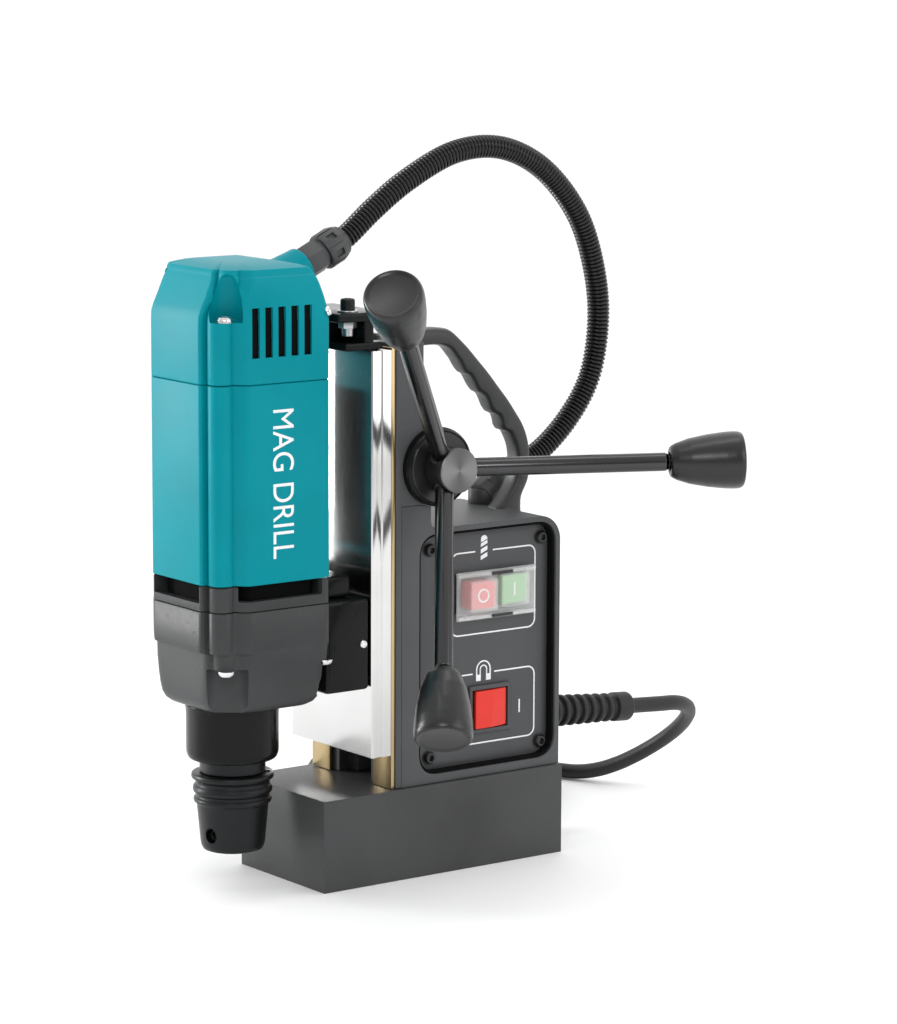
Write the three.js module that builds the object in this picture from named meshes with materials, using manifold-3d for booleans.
// Magnetic drill press: electromagnet base, column with control housing, and a motor carriage that a
// three-armed capstan feeds up and down. Millimetres, +Z up, spindle side towards -Y, panel towards +X.
// The origin is the middle of the magnet's bottom face.

import * as THREE from 'three';
import { mergeVertices } from 'three/addons/utils/BufferGeometryUtils.js';
import Module from 'manifold-3d';

// ---------------------------------------------------------------- driving dimensions

const GAP = 0.3;                                   // air between touching pieces
const BASE = { x: 40, y: 80, top: 50 };            // magnet: half width, half length, height
const COLUMN = { x: 38, front: -32, rear: -14, rib: -10, top: 291 };
const HOUSING = { front: -28.2, rear: 79, roof: 190, ears: 203.3, wall: 6 };
const RECESS = { x: 32, left: -16.5, right: 76, bottom: 55, top: 187, corner: 13 };
const SLIDE = { x: 38, front: -47.8, rear: -34.9, bottom: 69, top: 288 };
const DOVETAIL = { neck: 14, foot: 18, front: -34.9, rear: -24.4 };
const CAPSTAN = { y: -6.4, z: 223.7, boss: 21.4, bossFace: 44, capFace: 60 };
const PINION = { module: 1.75, teeth: 12, halfWidth: 8 };
const ARM = { angles: [1, 131, 245], tilt: 29.8, root: 46.3, radius: 5, knobStart: 121.5, knobEnd: 161 };
const SPINDLE_Y = -111.7;                          // armature and spindle share this axis
const LAYSHAFT_Y = -85.7;
const GEAR = { module: 1.3, armature: 7, layshaftWheel: 33, layshaftPinion: 10, spindle: 30 };
const MOTOR = { x: 40, front: -146.4, rear: -75.5, panel: 23.8, bottom: 170.8, seam: 275.5, brow: 311 };
const CASE = { bottom: 102, flange: 106.8, top: 156.7, seat: 170.4 };
const CONDUIT_RADIUS = 6.4;
const CORD_RADIUS = 4.5;
const SLEEVE = { x: 10, start: [80, 73.8], end: [150, 69], root: 9.2, tip: 7.4 };
const CORD_TURN = { x: -35, y: 175, radius: 45, sweep: 115.85, straight: 66, floor: 4.8, drop: 62.5, fall: 141 };
const COIL = { x: -118, y: 107, inner: 29.2, outer: 74.8, bottom: 0.3, top: 18.6, exit: 240 };
const PLUG = { relief: 46, body: 60, face: 96, pins: 115, radius: 17.5, axis: 17.8 };

const STEEL = { color: 0xc9cccd, roughness: 0.3, metalness: 1 };
const BLACK_CAST = { color: 0x1d1f20, roughness: 0.6, metalness: 0.1 };
const BLACK_PLASTIC = { color: 0x151617, roughness: 0.42, metalness: 0 };
const TEAL = { color: 0x009aa6, roughness: 0.4, metalness: 0 };
const BRASS = { color: 0xb58a3c, roughness: 0.35, metalness: 1 };
const RUBBER = { color: 0x0d0d0e, roughness: 0.7, metalness: 0 };
const COPPER = { color: 0xa5562b, roughness: 0.4, metalness: 1 };

// ---------------------------------------------------------------- shape helpers

const wasm = await Module();
wasm.setup();

const radians = THREE.MathUtils.degToRad;

function toSolid(geometry) {
  const bare = geometry.index ? geometry.toNonIndexed() : geometry.clone();
  bare.deleteAttribute('normal');
  bare.deleteAttribute('uv');
  const merged = mergeVertices(bare, 1e-4);
  const solid = new wasm.Mesh({
    numProp: 3,
    vertProperties: new Float32Array(merged.attributes.position.array),
    triVerts: new Uint32Array(merged.index.array),
  });
  return new wasm.Manifold(solid);
}

function toGeometry(manifold) {
  const { vertProperties, triVerts } = manifold.getMesh();
  const geometry = new THREE.BufferGeometry();
  geometry.setAttribute('position', new THREE.BufferAttribute(new Float32Array(vertProperties), 3));
  geometry.setIndex(new THREE.BufferAttribute(new Uint32Array(triVerts), 1));
  geometry.computeVertexNormals();
  return geometry;
}

function cut(body, ...tools) {
  return toGeometry(tools.reduce((whole, tool) => whole.subtract(toSolid(tool)), toSolid(body)));
}

function join(...pieces) {
  const [first, ...rest] = pieces.map(toSolid);
  return toGeometry(rest.reduce((whole, piece) => whole.add(piece), first));
}

function box(x, y, z) {
  const size = [x, y, z].map(([low, high]) => high - low);
  const centre = [x, y, z].map(([low, high]) => (low + high) / 2);
  return new THREE.BoxGeometry(...size).translate(...centre);
}

function shapeOf(points, holes = []) {
  const shape = new THREE.Shape(points.map(([u, v]) => new THREE.Vector2(u, v)));
  shape.holes = holes.map((hole) => new THREE.Path(hole.map(([u, v]) => new THREE.Vector2(u, v))));
  return shape;
}

// A prism whose outline is given as (x, y) and that rises from one height to another.
function prismZ(points, bottom, top, holes) {
  const geometry = new THREE.ExtrudeGeometry(shapeOf(points, holes), { depth: top - bottom, bevelEnabled: false });
  return geometry.translate(0, 0, bottom);
}

// A prism whose outline is given as (y, z) and that runs along X.
function prismX(points, left, right, holes) {
  const geometry = new THREE.ExtrudeGeometry(shapeOf(points, holes), { depth: right - left, bevelEnabled: false });
  const turn = new THREE.Matrix4().makeBasis(
    new THREE.Vector3(0, 1, 0), new THREE.Vector3(0, 0, 1), new THREE.Vector3(1, 0, 0));
  return geometry.applyMatrix4(turn).translate(left, 0, 0);
}

// A turned piece: its profile is (radius, distance along the axis) from one end to the other.
function turned(profile, origin, direction, segments = 20) {
  const points = profile.map(([radius, along]) => new THREE.Vector2(radius, along));
  const geometry = new THREE.LatheGeometry(points, segments);
  const up = new THREE.Vector3(0, 1, 0);
  const turn = new THREE.Quaternion().setFromUnitVectors(up, new THREE.Vector3(...direction).normalize());
  return geometry.applyQuaternion(turn).translate(...origin);
}

function rod(radius, from, to, origin, direction, segments = 20) {
  return turned([[0, from], [radius, from], [radius, to], [0, to]], origin, direction, segments);
}

function ring(inner, outer, from, to, origin, direction, segments = 20) {
  const profile = [[inner, from], [outer, from], [outer, to], [inner, to], [inner, from]];
  return turned(profile, origin, direction, segments);
}

function arc(u, v, radius, from, to, steps) {
  return Array.from({ length: steps + 1 }, (_, step) => {
    const angle = radians(from + ((to - from) * step) / steps);
    return [u + radius * Math.cos(angle), v + radius * Math.sin(angle)];
  });
}

function roundedRectangle(left, right, bottom, top, radius, steps = 4) {
  return [
    ...arc(right - radius, bottom + radius, radius, -90, 0, steps),
    ...arc(right - radius, top - radius, radius, 0, 90, steps),
    ...arc(left + radius, top - radius, radius, 90, 180, steps),
    ...arc(left + radius, bottom + radius, radius, 180, 270, steps),
  ];
}

// A closed body through outlines of equal point count, each at its own height.
function loft(sections) {
  const count = sections[0].points.length;
  const vertices = sections.flatMap(({ points, z }) => points.map(([x, y]) => [x, y, z]));
  const index = [];
  for (let layer = 0; layer < sections.length - 1; layer += 1) {
    for (let i = 0; i < count; i += 1) {
      const a = layer * count + i;
      const b = layer * count + ((i + 1) % count);
      index.push(a, b, b + count, a, b + count, a + count);
    }
  }
  const cap = (points) => THREE.ShapeUtils.triangulateShape(points.map(([x, y]) => new THREE.Vector2(x, y)), []);
  cap(sections[0].points).forEach(([a, b, c]) => index.push(a, c, b));
  const last = (sections.length - 1) * count;
  cap(sections.at(-1).points).forEach(([a, b, c]) => index.push(last + a, last + b, last + c));
  const geometry = new THREE.BufferGeometry();
  geometry.setAttribute('position', new THREE.Float32BufferAttribute(vertices.flat(), 3));
  geometry.setIndex(index);
  return geometry;
}

function tube(points, radius, steps, sides = 10) {
  const curve = new THREE.CatmullRomCurve3(points.map((p) => new THREE.Vector3(...p)), false, 'centripetal');
  const section = shapeOf(arc(0, 0, radius, 0, 360 - 360 / sides, sides - 1));
  return new THREE.ExtrudeGeometry(section, { steps, extrudePath: curve, bevelEnabled: false });
}

// A spur gear or rack tooth is a trapezium: wide at the root, narrow at the tip.
const TOOTH = { rootShare: 0.6, tipShare: 0.2, addendum: 0.95, dedendum: 1.25 };

function gearOutline(module, teeth, phase) {
  const pitchRadius = (module * teeth) / 2;
  const root = pitchRadius - TOOTH.dedendum * module;
  const tip = pitchRadius + TOOTH.addendum * module;
  const step = 360 / teeth;
  const polar = (radius, angle) => [radius * Math.cos(radians(angle)), radius * Math.sin(radians(angle))];
  const rootHalf = (step * TOOTH.rootShare) / 2;
  const tipHalf = (step * TOOTH.tipShare) / 2;
  return Array.from({ length: teeth }, (_, tooth) => tooth * step + phase).flatMap((middle) => [
    polar(root, middle - rootHalf), polar(tip, middle - tipHalf),
    polar(tip, middle + tipHalf), polar(root, middle + rootHalf),
  ]);
}

const moved = (points, x, y) => points.map(([u, v]) => [u + x, v + y]);
const circle = (radius, sides = 20) => arc(0, 0, radius, 0, 360 - 360 / sides, sides - 1);

const model = new THREE.Group();

function add(name, geometry, finish) {
  const piece = new THREE.Mesh(geometry, new THREE.MeshStandardMaterial(finish));
  piece.name = name;
  model.add(piece);
}

// ---------------------------------------------------------------- magnet base

const COIL_SLOT = { outer: [31, 66], inner: [17, 52], depth: 32 };

function slotRing(grow, bottom, top) {
  const [outerX, outerY] = COIL_SLOT.outer.map((half) => half + grow);
  const [innerX, innerY] = COIL_SLOT.inner.map((half) => half - grow);
  const hole = roundedRectangle(-innerX, innerX, -innerY, innerY, 6, 3);
  return prismZ(roundedRectangle(-outerX, outerX, -outerY, outerY, 8, 3), bottom, top, [hole]);
}

function buildMagnet() {
  const block = box([-BASE.x, BASE.x], [-BASE.y, BASE.y], [0, BASE.top]);
  add('magnet_base', cut(block, slotRing(0, -1, COIL_SLOT.depth)), BLACK_CAST);
  add('magnet_coil', slotRing(-GAP, GAP, COIL_SLOT.depth - GAP), COPPER);
}

// ---------------------------------------------------------------- column and its slideways

const RACK_FLOOR = CAPSTAN.y - (PINION.module * PINION.teeth) / 2 + 2 * PINION.module;

function columnOutline() {
  const { x, front, rear, rib } = COLUMN;
  const clear = 0.6;
  const flare = (DOVETAIL.foot - DOVETAIL.neck) / (DOVETAIL.rear - DOVETAIL.front);
  const neck = DOVETAIL.neck + flare * (front - DOVETAIL.front) + clear;
  const foot = DOVETAIL.foot + clear;
  const floor = DOVETAIL.rear + clear;
  const rack = PINION.halfWidth + 1;
  return [
    [neck, front], [x, front], [x, rear], [x / 2, rear], [x / 2, rib], [-x / 2, rib], [-x / 2, rear],
    [-x, rear], [-x, front], [-neck, front], [-foot, floor], [-rack, floor], [-rack, RACK_FLOOR],
    [rack, RACK_FLOOR], [rack, floor], [foot, floor],
  ];
}

const CAPSTAN_AXIS = [0, CAPSTAN.y, CAPSTAN.z];
const BUSH = { outer: 9.8, shaft: 7 };

function buildColumn() {
  const { x, front, top } = COLUMN;
  const post = prismZ(columnOutline(), BASE.top + GAP, top);
  const boss = rod(CAPSTAN.boss, -x, CAPSTAN.bossFace, CAPSTAN_AXIS, [1, 0, 0], 36);
  const channel = box([-DOVETAIL.foot - 1, DOVETAIL.foot + 1], [front - 1, DOVETAIL.rear + 0.6], [200, 250]);
  const rackWay = box([-PINION.halfWidth - 1, PINION.halfWidth + 1], [front, RACK_FLOOR], [200, 250]);
  const gearPocket = rod(13.4, -PINION.halfWidth - 1, PINION.halfWidth + 1, CAPSTAN_AXIS, [1, 0, 0]);
  const bore = rod(BUSH.outer + GAP, -x - 1, CAPSTAN.bossFace + 1, CAPSTAN_AXIS, [1, 0, 0]);
  const cheeks = [[-x - 1, -30], [30, x + 1]].map(([left, right]) => box(
    [left, right], [HOUSING.front - GAP, 0], [BASE.top, HOUSING.ears + GAP]));
  add('column', cut(join(post, boss), channel, rackWay, gearPocket, bore, ...cheeks), BLACK_CAST);
  for (const [name, side] of [['gib_right', 1], ['gib_left', -1]]) {
    const edges = [20.4, 38.2].map((edge) => edge * side).sort((a, b) => a - b);
    add(name, box(edges, [SLIDE.rear + GAP, front - GAP], [BASE.top + GAP, COLUMN.top - 2]), BRASS);
  }
  for (const [name, left, right] of [['shaft_bush_right', 22, 43.7], ['shaft_bush_left', -37.7, -22]]) {
    add(name, ring(BUSH.shaft + GAP, BUSH.outer, left, right, CAPSTAN_AXIS, [1, 0, 0]), BRASS);
  }
}

// ---------------------------------------------------------------- control housing, handle and panel

const PANEL_SCREWS = [[-6, 177.4], [-6, 63.3], [69.4, 177.4], [69.4, 63.3]];

function buildHousing() {
  const { front, rear, roof, ears, wall } = HOUSING;
  const bottom = BASE.top + GAP;
  const shoulder = COLUMN.rear + 5;
  const profile = [
    [front, bottom], [rear, bottom], ...arc(rear - 14, roof - 14, 14, 0, 90, 5), [shoulder + 4, roof],
    [shoulder, roof + 4], [shoulder, ears], [front, ears],
  ];
  const shell = prismX(profile, -COLUMN.x, COLUMN.x);
  const columnWay = box([-30 - GAP, 30 + GAP], [front - 1, COLUMN.rib + GAP], [BASE.top, ears + 1]);
  const bossWay = rod(CAPSTAN.boss + GAP, -60, 60, CAPSTAN_AXIS, [1, 0, 0], 36);
  const { x, left, right, bottom: low, top: high, corner } = RECESS;
  const recess = prismX(roundedRectangle(left, right, low, high, corner), x - 2 - GAP, COLUMN.x + 1);
  const inside = prismX(roundedRectangle(COLUMN.rib + wall, rear - wall, low + 4, high - 4, 8, 2),
    -COLUMN.x + wall, COLUMN.x);
  const tapped = PANEL_SCREWS.map(([y, z]) => rod(2.3, 25, x, [0, y, z], [1, 0, 0], 8));
  add('control_housing', cut(shell, columnWay, bossWay, recess, inside, ...tapped), BLACK_CAST);
}

const HANDLE = {
  outer: [[-9.7, 293], [22, 293], [29, 291], [77, 238], [82.5, 222], [82, 206], [76.5, 195], [76.5, 190.3]],
  inner: [[61, 190.3], [67, 197], [73, 207], [74, 220], [69, 232], [34, 274], [25, 282.5], [-9.7, 283]],
  halfWidth: 7,
};

function buildHandle() {
  const loop = prismX([...HANDLE.outer].reverse().concat([...HANDLE.inner].reverse()).reverse(),
    -HANDLE.halfWidth, HANDLE.halfWidth);
  add('carry_handle', loop, BLACK_CAST);
}

const STOP = { y: [14.1, 29.8], z: [144, 158.5], x: 44 };
const START = { y: [38.6, 55], z: [144, 159.4], x: 39 };
const BUTTON_BACK = 31;
const SWITCH = { y: [12, 60], z: [140.5, 162], back: 12, face: 34.6 };
const ROCKER = { y: [22.8, 45.8], z: [75.6, 96.4], axis: [31, 34.3] };

const grown = ([low, high], by) => [low - by, high + by];

function buildPanel() {
  const { x, left, right, bottom, top, corner } = RECESS;
  const outline = roundedRectangle(left + GAP, right - GAP, bottom + GAP, top - GAP, corner - GAP);
  const plate = prismX(outline, x - 2, x);
  const holes = PANEL_SCREWS.map(([y, z]) => rod(2.3, x - 3, x + 1, [0, y, z], [1, 0, 0], 8));
  const switchHole = box([x - 3, x + 1], grown(SWITCH.y, GAP), grown(SWITCH.z, GAP));
  const rockerHole = box([x - 3, x + 1], grown(ROCKER.y, 0.6), grown(ROCKER.z, 0.6));
  add('control_panel', cut(plate, switchHole, rockerHole, ...holes), BLACK_PLASTIC);
  PANEL_SCREWS.forEach(([y, z], index) => {
    const profile = [[0, x - 6], [2, x - 6], [2, x + GAP], [3.6, x + GAP], [3.6, x + 2.6], [2, x + 3.2], [0, x + 3.2]];
    add(`panel_screw_${index + 1}`, turned(profile, [0, y, z], [1, 0, 0], 8), BLACK_PLASTIC);
  });
}

function buildSwitches() {
  const { y, z, back, face } = SWITCH;
  const pocketFloor = BUTTON_BACK - 3.6;
  const block = box([back, face], y, z);
  const pockets = [STOP, START].map((button) => box(
    [pocketFloor, face + 1], grown(button.y, 0.4), grown(button.z, 0.4)));
  add('switch_block', cut(block, ...pockets), BLACK_PLASTIC);
  const skirt = box([face + GAP, face + 1.6], [10, 63.6], [136.5, 163.4]);
  const blisters = [STOP, START].map((button) => box(
    [face + GAP, button.x + 1.4], grown(button.y, 1.5), grown(button.z, 1.5)));
  const hollows = [STOP, START].map((button) => box(
    [face, button.x + 0.4], grown(button.y, 0.5), grown(button.z, 0.5)));
  add('switch_cover', cut(join(skirt, ...blisters), ...hollows), { color: 0xd8dcda, roughness: 0.3 });
  add('stop_button', box([BUTTON_BACK, STOP.x], STOP.y, STOP.z), { color: 0xc8342c, roughness: 0.4 });
  add('start_button', box([BUTTON_BACK, START.x], START.y, START.z), { color: 0x4fae3c, roughness: 0.4 });
  const bezel = box([RECESS.x + GAP, RECESS.x + 2.2], [20.5, 48.1], [72.6, 99.4]);
  const bezelHole = box([RECESS.x, RECESS.x + 3], grown(ROCKER.y, 0.6), grown(ROCKER.z, 0.6));
  add('rocker_bezel', cut(bezel, bezelHole), BLACK_PLASTIC);
  add('magnet_rocker', rockerGeometry(), { color: 0xd4281f, roughness: 0.35 });
  add('control_board', box([-14, -12], [2, 66], [70, 170]), { color: 0x1f6b3a, roughness: 0.6 });
}

// The rocker is a shallow V in plan, tilted so that its far side (off) is pressed in at rest.
function rockerGeometry() {
  const [axisX, axisY] = ROCKER.axis;
  const half = (ROCKER.y[1] - ROCKER.y[0]) / 2;
  const tilt = radians(6);
  const profile = [[-3, -half + 3], [3.6, -half], [4.6, 0], [3.6, half], [-3, half - 3]];
  const points = profile.map(([x, y]) => [
    axisX + x * Math.cos(tilt) - y * Math.sin(tilt), axisY + x * Math.sin(tilt) + y * Math.cos(tilt)]);
  return prismZ(points.reverse(), ...ROCKER.z);
}

// ---------------------------------------------------------------- capstan feed

function armDirection(angle) {
  const tilt = radians(ARM.tilt);
  const turn = radians(angle);
  return [Math.sin(tilt), Math.cos(tilt) * Math.cos(turn), Math.cos(tilt) * Math.sin(turn)];
}

function buildCapstan() {
  const along = [1, 0, 0];
  const hubStart = CAPSTAN.bossFace + GAP;
  const capBack = CAPSTAN.capFace - 1.2;
  const shaft = turned([[0, -41], [11, -41], [11, -38 - GAP], [BUSH.shaft, -38 - GAP], [BUSH.shaft, hubStart - GAP],
    [4.4, hubStart - GAP], [4.4, 52], [0, 52]], CAPSTAN_AXIS, along);
  add('pinion_shaft', shaft, STEEL);
  const gear = prismX(moved(gearOutline(PINION.module, PINION.teeth, 0), CAPSTAN.y, CAPSTAN.z),
    -PINION.halfWidth, PINION.halfWidth, [moved(circle(BUSH.shaft + GAP).reverse(), CAPSTAN.y, CAPSTAN.z)]);
  add('capstan_pinion', gear, STEEL);
  const root = [ARM.root, CAPSTAN.y, CAPSTAN.z];
  const blank = rod(12, hubStart, capBack, CAPSTAN_AXIS, along);
  const spigot = rod(4.4 + GAP, hubStart - 1, 52 + GAP, CAPSTAN_AXIS, along);
  const sockets = ARM.angles.map((angle) => rod(ARM.radius + GAP, 9, 40, root, armDirection(angle), 12));
  add('hub', cut(blank, spigot, ...sockets), BLACK_CAST);
  add('hub_cap', turned([[0, capBack + GAP], [12, capBack + GAP], [12, CAPSTAN.capFace - 0.6],
    [11.4, CAPSTAN.capFace], [0, CAPSTAN.capFace]], CAPSTAN_AXIS, along), STEEL);
  ARM.angles.forEach((angle, index) => {
    const direction = armDirection(angle);
    const bore = ARM.knobStart + 19;
    add(`arm_${index + 1}`, rod(ARM.radius, 9 + GAP, bore - GAP, root, direction, 12), STEEL);
    const knob = [[0, bore], [ARM.radius + GAP, bore], [ARM.radius + GAP, ARM.knobStart], [7.4, ARM.knobStart],
      [9.6, 123.5], [12.3, 132], [14.6, 145], [15.5, 155], [15.3, 158.4], [13.6, 160.4], [0, ARM.knobEnd]];
    add(`knob_${index + 1}`, turned(knob, root, direction, 14), BLACK_PLASTIC);
  });
}

// ---------------------------------------------------------------- carriage: slide, rack and gear case

function rackOutline() {
  const pitchLine = CAPSTAN.y - (PINION.module * PINION.teeth) / 2;
  const rootLine = pitchLine - TOOTH.dedendum * PINION.module;
  const tipLine = pitchLine + TOOTH.addendum * PINION.module;
  const pitch = Math.PI * PINION.module;
  const low = Math.ceil((SLIDE.bottom + 3 - CAPSTAN.z) / pitch);
  const high = Math.floor((SLIDE.top - 3 - CAPSTAN.z) / pitch);
  const middles = Array.from({ length: high - low }, (_, i) => CAPSTAN.z + (low + i + 0.5) * pitch);
  const teeth = middles.flatMap((z) => [
    [rootLine, z - (pitch * TOOTH.rootShare) / 2], [tipLine, z - (pitch * TOOTH.tipShare) / 2],
    [tipLine, z + (pitch * TOOTH.tipShare) / 2], [rootLine, z + (pitch * TOOTH.rootShare) / 2]]);
  const back = DOVETAIL.rear + GAP;
  return [[back, SLIDE.bottom + 1], [rootLine, SLIDE.bottom + 1], ...teeth, [rootLine, SLIDE.top - 1],
    [back, SLIDE.top - 1]];
}

function buildSlide() {
  const { x, front, rear, bottom, top } = SLIDE;
  const { neck, foot, rear: tail } = DOVETAIL;
  const outline = [[-x, front], [x, front], [x, rear], [neck, rear], [foot, tail], [-foot, tail], [-neck, rear],
    [-x, rear]];
  add('slide', prismZ(outline, bottom, top), STEEL);
  add('rack', prismX(rackOutline(), -PINION.halfWidth + 1, PINION.halfWidth - 1), STEEL);
}

// The plan that motor housing, top cover and gear case share: a narrower raised front panel with a
// screw column at each front corner. Inset moves every wall inwards.
const FRONT_COLUMNS = { right: { x: 28.5, y: -136.8, radius: 6.8 }, left: { x: 27, y: -134.6, radius: 6.2 } };

function motorPlan(inset = 0, steps = 3) {
  const { x, front, rear, panel } = MOTOR;
  const sideOf = (column) => [
    [panel - inset * 0.5, front + inset],
    [panel - inset * 0.5, front + 5.2 + inset * 0.8],
    ...arc(column.x - inset, column.y + inset, column.radius - inset * 0.4, -122, -14, steps),
    [x - inset, -128 + inset * 0.6],
    [x - inset, rear - inset - 1.5],
    [x - inset - 1.5, rear - inset],
  ];
  const left = sideOf(FRONT_COLUMNS.left).map(([u, v]) => [-u, v]).reverse();
  return [...sideOf(FRONT_COLUMNS.right), ...left];
}

const stretched = (points, front, rear, half) => points.map(([x, y]) => {
  const share = (y - MOTOR.front) / (MOTOR.rear - MOTOR.front);
  return [(x * half) / MOTOR.x, front + share * (rear - front)];
});

const CASE_LUGS = [[30, -134.5, 105, 8], [-22, -131.5, 105, 7.4], [32, -80.5, 113, 6.5], [-32, -80.5, 113, 6.5]];

function buildGearCase() {
  const plan = motorPlan();
  const body = loft([
    { points: stretched(plan, -134, -86, 27), z: CASE.bottom },
    { points: stretched(plan, -139.6, -80, 34), z: CASE.bottom + 5 },
    { points: stretched(plan, -144, -75.5, 38.6), z: 127 },
    { points: plan, z: 131 },
    { points: plan, z: CASE.top },
  ]);
  const flange = box([-36.8, 36.8], [-84, SLIDE.front - GAP], [CASE.flange, CASE.top]);
  const lugs = CASE_LUGS.map(([x, y, foot, radius]) => rod(radius, foot, 126.5, [x, y, 0], [0, 0, 1], 12));
  const cavity = prismZ(motorPlan(6.6, 2), 112, CASE.top + 1);
  const wheelPocket = rod(24.4, 112, CASE.top + 1, [0, LAYSHAFT_Y, 0], [0, 0, 1], 28);
  const neckBore = rod(20.9, CASE.bottom - 1, 113, [0, SPINDLE_Y, 0], [0, 0, 1]);
  const heel = rod(3.8, 106, 113, [0, LAYSHAFT_Y, 0], [0, 0, 1], 16);
  add('gear_case', cut(join(body, flange, ...lugs), cavity, wheelPocket, neckBore, heel), BLACK_CAST);

  const bearingHole = rod(8.3, CASE.top, 163, [0, SPINDLE_Y, 0], [0, 0, 1]);
  const layshaftHole = rod(3.8, CASE.top, 160, [0, LAYSHAFT_Y, 0], [0, 0, 1], 16);
  const plate = prismZ(motorPlan(4.4, 2), CASE.top + GAP, CASE.top + 4);
  const bearingSeat = rod(12, CASE.top + GAP, CASE.top + 6, [0, SPINDLE_Y, 0], [0, 0, 1]);
  add('bearing_plate', cut(join(plate, bearingSeat), bearingHole, layshaftHole), STEEL);

  const band = prismZ(plan, CASE.top + GAP, CASE.seat);
  const rearLug = box([-30, 30], [MOTOR.rear - 3, -56], [CASE.top + GAP, 168.5]);
  const hollow = prismZ(motorPlan(4, 2), CASE.top, CASE.seat + 1);
  const vents = [
    box([-19.5, 19.5], [MOTOR.front - 1, MOTOR.front + 10], [161.2, CASE.seat + 1]),
    box([30, 50], [-132, -82], [162.8, CASE.seat + 1]),
    box([-50, -30], [-132, -82], [162.8, CASE.seat + 1]),
  ];
  add('vent_ring', cut(join(band, rearLug), hollow, ...vents), BLACK_CAST);
}

// ---------------------------------------------------------------- motor

function buildMotor() {
  const axis = [0, SPINDLE_Y, 0];
  const up = [0, 0, 1];
  const barrel = rod(32, MOTOR.bottom - 1, MOTOR.seam + 1, axis, up, 32);
  add('motor_housing', cut(prismZ(motorPlan(), MOTOR.bottom, MOTOR.seam), barrel), TEAL);
  const stator = ring(21.5, 31.4, 190, 240, axis, up, 32);
  add('stator', stator, STEEL);
  const pinion = prismZ(moved(gearOutline(GEAR.module, GEAR.armature, 90), 0, SPINDLE_Y), 147.6, 156.6);
  const shaft = turned([[0, 156], [2.8, 156], [2.8, 158], [3.8, 158], [3.8, 277], [0, 277]], axis, up, 16);
  add('armature_shaft', join(pinion, shaft), STEEL);
  add('armature_core', ring(3.8 + GAP, 20.5, 191, 239, axis, up), COPPER);
  add('commutator', ring(3.8 + GAP, 13, 244, 262, axis, up), COPPER);
  const hub = ring(3.8 + GAP, 8, 175, 187, axis, up, 16);
  const blades = Array.from({ length: 9 }, (_, blade) => box([6, 29], [-0.9, 0.9], [176, 186])
    .rotateZ((blade * 2 * Math.PI) / 9).translate(0, SPINDLE_Y, 0));
  const disc = ring(7, 29, 186, 187.4, axis, up);
  add('cooling_fan', join(hub, disc, ...blades), BLACK_PLASTIC);
  add('armature_bearing_lower', ring(3.8 + GAP, 8, CASE.top + GAP, 162.6, axis, up, 16), STEEL);
  add('armature_bearing_upper', ring(3.8 + GAP, 8, 268, 275, axis, up, 16), STEEL);
}

const GLAND_TILT = 26;
const GLAND_ROOT = [0, -66, 331.5];
const glandAxis = [0, Math.cos(radians(GLAND_TILT)), Math.sin(radians(GLAND_TILT))];

function coverSections(inset) {
  const plan = motorPlan(inset);
  const base = MOTOR.seam + GAP;
  const slope = (front, rear, half) => stretched(plan, front, rear, half);
  return [
    { points: plan, z: inset ? base - 1 : base },
    { points: plan, z: MOTOR.brow - inset },
    { points: slope(-139.6, -78, 39.4), z: 325 - inset },
    { points: slope(-136.4, -81, 31), z: 332.7 - inset },
  ];
}

function buildTopCover() {
  const shell = loft(coverSections(0));
  const snout = turned([[0, -34], [13.5, -34], [10.3, -2], [10.3, 0], [0, 0]], GLAND_ROOT, glandAxis, 16);
  const snoutKeep = box([-40, 40], [-150, -50], [300, 350]);
  const snoutTrimmed = toGeometry(toSolid(snout).intersect(toSolid(snoutKeep)));
  const wireWay = rod(5, -30, 1, GLAND_ROOT, glandAxis, 12);
  const vents = [0, 1, 2, 3, 4].flatMap((slot) => [-1, 1].map((side) => box(
    side > 0 ? [34, 42] : [-42, -34], [-124.6 + slot * 8.1, -119.9 + slot * 8.1], [289.4, 315.4])));
  const inFrontCorner = (radius, low) => [-30, 30].map((x) => rod(radius, low, 340, [x, -135.5, 0], [0, 0, 1], 16));
  const bearingBridge = box([-38, 38], [SPINDLE_Y - 6, SPINDLE_Y + 6], [277, 284]);
  const seat = rod(11, 267.5, 284, [0, SPINDLE_Y, 0], [0, 0, 1]);
  const seatBore = rod(8 + GAP, 267, 275.3, [0, SPINDLE_Y, 0], [0, 0, 1]);
  const shaftRoom = rod(5, 267, 279, [0, SPINDLE_Y, 0], [0, 0, 1], 16);
  const inside = cut(loft(coverSections(3.2)), ...inFrontCorner(9.6, 305));
  const hollow = cut(join(shell, snoutTrimmed), inside, wireWay, ...vents, ...inFrontCorner(7.4, 309.6));
  add('top_cover', cut(join(hollow, bearingBridge, seat), seatBore, shaftRoom), TEAL);
}

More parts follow.
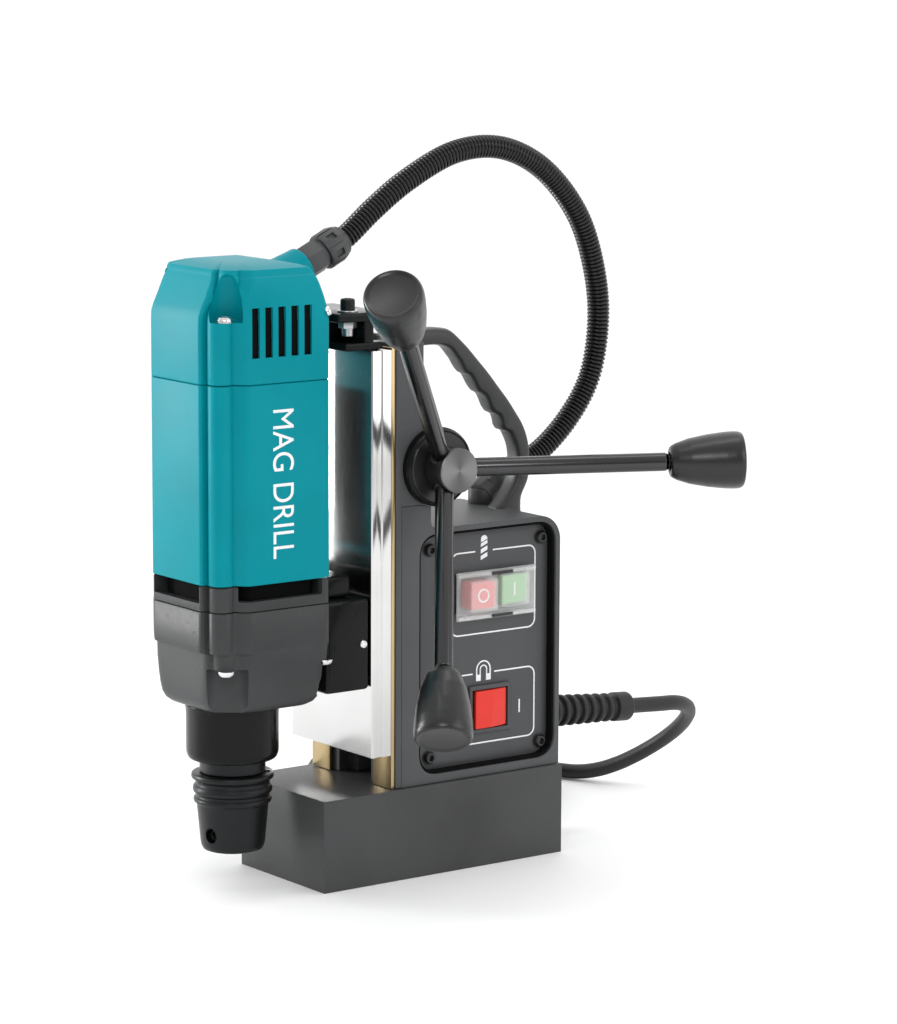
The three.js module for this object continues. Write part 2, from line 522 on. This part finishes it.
function buildSpindle() {
  const axis = [0, SPINDLE_Y, 0];
  const up = [0, 0, 1];
  add('spindle_neck', turned([[18.6, 71.4], [23.6, 71.4], [24.7, 73], [24.7, 101.6], [20.6, 101.6], [20.6, 108],
    [18.6, 108], [18.6, 71.4]], axis, up), BLACK_CAST);
  add('spindle_bearing', ring(15.3, 18.3, 74, 84, axis, up), STEEL);
  add('spindle', turned([[0, 40], [10.5, 40], [10.5, 64.4], [17.6, 64.4], [17.6, 71], [15, 71.4], [15, 112],
    [10, 112], [10, 145], [0, 145]], axis, up), STEEL);
  const wheel = prismZ(moved(gearOutline(GEAR.module, GEAR.spindle, 96), 0, SPINDLE_Y), 128, 142,
    [moved(circle(10 + GAP).reverse(), 0, SPINDLE_Y)]);
  add('spindle_gear', wheel, STEEL);
  const cone = [[0, 21.8], [14, 21.8], [16.2, 23], [17, 26], [19.2, 47.5], [20.6, 48.5], [20.9, 51], [19.9, 52],
    [19.9, 53], [21.2, 54], [21.2, 57.4], [20, 58.4], [20, 59.4], [21.7, 60.4], [21.7, 62.6], [20.9, 64],
    [10.8, 64], [10.8, 39.6], [0, 39.6]];
  const socket = rod(9.6, 20, 38, axis, up);
  const screwTurn = radians(15);
  const screwHole = rod(4.2, 0, 30, [0, SPINDLE_Y, 31.3], [Math.sin(screwTurn), -Math.cos(screwTurn), 0], 10);
  add('arbor', cut(turned(cone, axis, up, 20), socket, screwHole), BLACK_CAST);
  const layAxis = [0, LAYSHAFT_Y, 0];
  const layPinion = prismZ(moved(gearOutline(GEAR.module, GEAR.layshaftPinion, 90), 0, LAYSHAFT_Y), 124, 147);
  const layWheel = prismZ(moved(gearOutline(GEAR.module, GEAR.layshaftWheel, 90), 0, LAYSHAFT_Y), 146.6, 155.4);
  const layPost = turned([[0, 106.6], [3.5, 106.6], [3.5, 160], [0, 160]], layAxis, up, 12);
  add('layshaft', join(layPinion, layWheel, layPost), STEEL);
}

// ---------------------------------------------------------------- bracket on the slide, glands and conduit

function buildBracket() {
  const base = SLIDE.top + GAP;
  const block = box([-24, 34], [-62, -38], [base, 303]);
  const tab = box([-10, 36], [-70, -36.5], [302, 308.5]);
  add('top_bracket', join(block, tab), BLACK_CAST);
}

const STAND_GLAND = { tilt: 36, root: [-19, 68.5, 195] };

function glandBody(root, axis, from) {
  return turned([[6.6, from], [8.5, from], [8.5, 13], [10, 13.6], [10, 25.4], [8.2, 28], [6.6, 28], [6.6, from]],
    root, axis, 12);
}

function buildConduit() {
  add('conduit_gland_motor', glandBody(GLAND_ROOT, glandAxis, GAP), BLACK_PLASTIC);
  const tilt = radians(STAND_GLAND.tilt);
  const axis = [0, Math.cos(tilt), Math.sin(tilt)];
  const [x, y, z] = STAND_GLAND.root;
  const elbow = turned([[0, -1], [9, -1], [9, 5], [8, 6], [8, 14.7], [0, 14.7]], STAND_GLAND.root, axis, 12);
  const foot = rod(8.4, HOUSING.roof - 10, z + 3, [x, y, 0], [0, 0, 1], 12);
  const { roof, rear } = HOUSING;
  const corner = arc(rear - 14, roof - 14, 14 + GAP, 0, 90, 5);
  const roofLine = prismX([[20, 150], [rear + GAP, 150], ...corner, [20, roof + GAP]], -40, 10);
  add('conduit_gland_stand', cut(join(elbow, foot), roofLine), BLACK_PLASTIC);
  const route = [
    [0, -45, 341.7], [0, -38, 345.4], [-0.3, -20.3, 359], [-1.4, 2.6, 373.4], [-3.1, 36.6, 387.5],
    [-4.6, 68, 388.6], [-6.2, 97.8, 376.5], [-8.5, 124.9, 350], [-10.9, 139, 320.5], [-13.5, 145.2, 289.7],
    [-16.2, 141.3, 255.9], [-17.6, 127, 233], [-18.6, 106, 215], [-19, 90, 209.2], [-19, 81.9, 204.8],
  ];
  add('conduit', tube(route, CONDUIT_RADIUS - 0.2, 34, 8), RUBBER);
}

// ---------------------------------------------------------------- mains cord

const sleeveAxis = [0, SLEEVE.end[0] - SLEEVE.start[0], SLEEVE.end[1] - SLEEVE.start[1]];
const sleeveLength = Math.hypot(...sleeveAxis);

function cordTurnPoints() {
  const { x, y, radius, sweep, straight, floor, drop, fall } = CORD_TURN;
  const turn = arc(x, y, radius, 0, sweep, 6);
  const heading = radians(90 + sweep);
  const [lastX, lastY] = turn.at(-1);
  const run = [0.4, 0.7, 1].map((share) => [
    lastX + straight * share * Math.cos(heading), lastY + straight * share * Math.sin(heading)]);
  const whole = [...turn, ...run];
  const travelled = [...turn.map((_, i) => (radians(sweep) * radius * i) / 6),
    ...[0.4, 0.7, 1].map((share) => radians(sweep) * radius + straight * share)];
  return whole.map(([px, py], i) => {
    const share = Math.min(travelled[i] / fall, 1);
    return [px, py, floor + (drop * (1 + Math.cos(Math.PI * share))) / 2];
  });
}

function buildMainsCord() {
  const origin = [SLEEVE.x, SLEEVE.start[0], SLEEVE.start[1]];
  add('cord_sleeve', turned([[0, 0], [SLEEVE.root, 0], [SLEEVE.root, 5], [8.4, 6], [SLEEVE.tip, sleeveLength - 12],
    [8.4, sleeveLength - 11], [8.4, sleeveLength], [0, sleeveLength]], origin, sleeveAxis, 16), RUBBER);
  const start = [SLEEVE.x, SLEEVE.end[0] + GAP, SLEEVE.end[1]];
  add('mains_cord_run', tube([start, ...cordTurnPoints()], CORD_RADIUS, 20, 10), RUBBER);
  const { x, y, inner, outer, bottom, top, exit } = COIL;
  add('mains_cord_coil', ring(inner, outer, bottom, top, [x, y, 0], [0, 0, 1], 32), RUBBER);
  const out = radians(exit);
  const heading = [Math.cos(out + Math.PI / 2), Math.sin(out + Math.PI / 2)];
  const lane = outer - CORD_RADIUS - GAP;
  const corner = [x + lane * Math.cos(out), y + lane * Math.sin(out)];
  const at = (along, z) => [corner[0] + heading[0] * along, corner[1] + heading[1] * along, z];
  add('mains_cord_lead', tube([at(37, PLUG.axis), at(PLUG.relief - GAP, PLUG.axis)], CORD_RADIUS, 2, 10),
    RUBBER);
  const plugAxis = [...heading, 0];
  const { relief, body, face, pins, radius, axis } = PLUG;
  const shell = turned([[0, relief], [6, relief], [8.5, body], [13, body + 4], [15, body + 24], [radius, body + 28],
    [radius, face], [0, face]], at(0, axis), plugAxis, 24);
  const pinPieces = [-9.5, 9.5].map((side) => rod(2.4, face - 1, pins,
    [at(0, axis)[0] - heading[1] * side, at(0, axis)[1] + heading[0] * side, axis], plugAxis, 12));
  add('mains_plug', join(shell, ...pinPieces), RUBBER);
}

buildMagnet();
buildColumn();
buildHousing();
buildHandle();
buildPanel();
buildSwitches();
buildCapstan();
buildSlide();
buildGearCase();
buildMotor();
buildTopCover();
buildSpindle();
buildBracket();
buildConduit();
buildMainsCord();

export default model;
